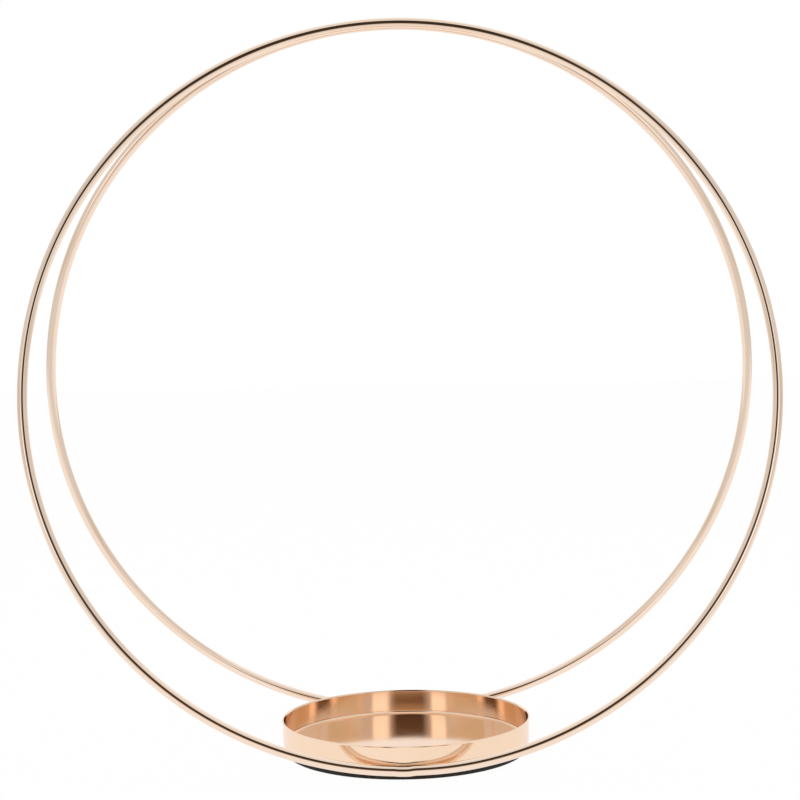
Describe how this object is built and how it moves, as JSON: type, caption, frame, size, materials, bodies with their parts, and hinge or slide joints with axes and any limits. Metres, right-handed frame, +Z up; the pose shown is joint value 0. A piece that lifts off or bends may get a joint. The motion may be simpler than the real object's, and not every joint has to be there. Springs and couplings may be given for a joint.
{
  "type": "candle ring",
  "caption": "Candle holder: a shallow round dish on a foam pad, with large wire hoops welded to its front and back that lean together and meet at the top.",
  "frame": {"origin": "middle of the foam pad's underside, on the surface that the holder stands on", "axes": "+Z up; the hoops face along Y with the front one at -Y; X runs across the hoops"},
  "size_m": [0.3, 0.1092, 0.2978],
  "materials": {
    "rose_gold_sheet": "polished rose-gold plating",
    "rose_gold_wire": "polished rose-gold plating",
    "weld_bead": "plated weld",
    "black_foam": "matt closed-cell foam",
    "adhesive_film": "translucent film"
  },
  "bodies": {
    "root": {"dish": "rose_gold_sheet", "front_ring": "rose_gold_wire", "rear_ring": "rose_gold_wire", "front_weld": "weld_bead", "rear_weld": "weld_bead", "top_weld": "weld_bead", "base_pad": "black_foam", "pad_tape": "adhesive_film"}
  },
  "joints": []
}
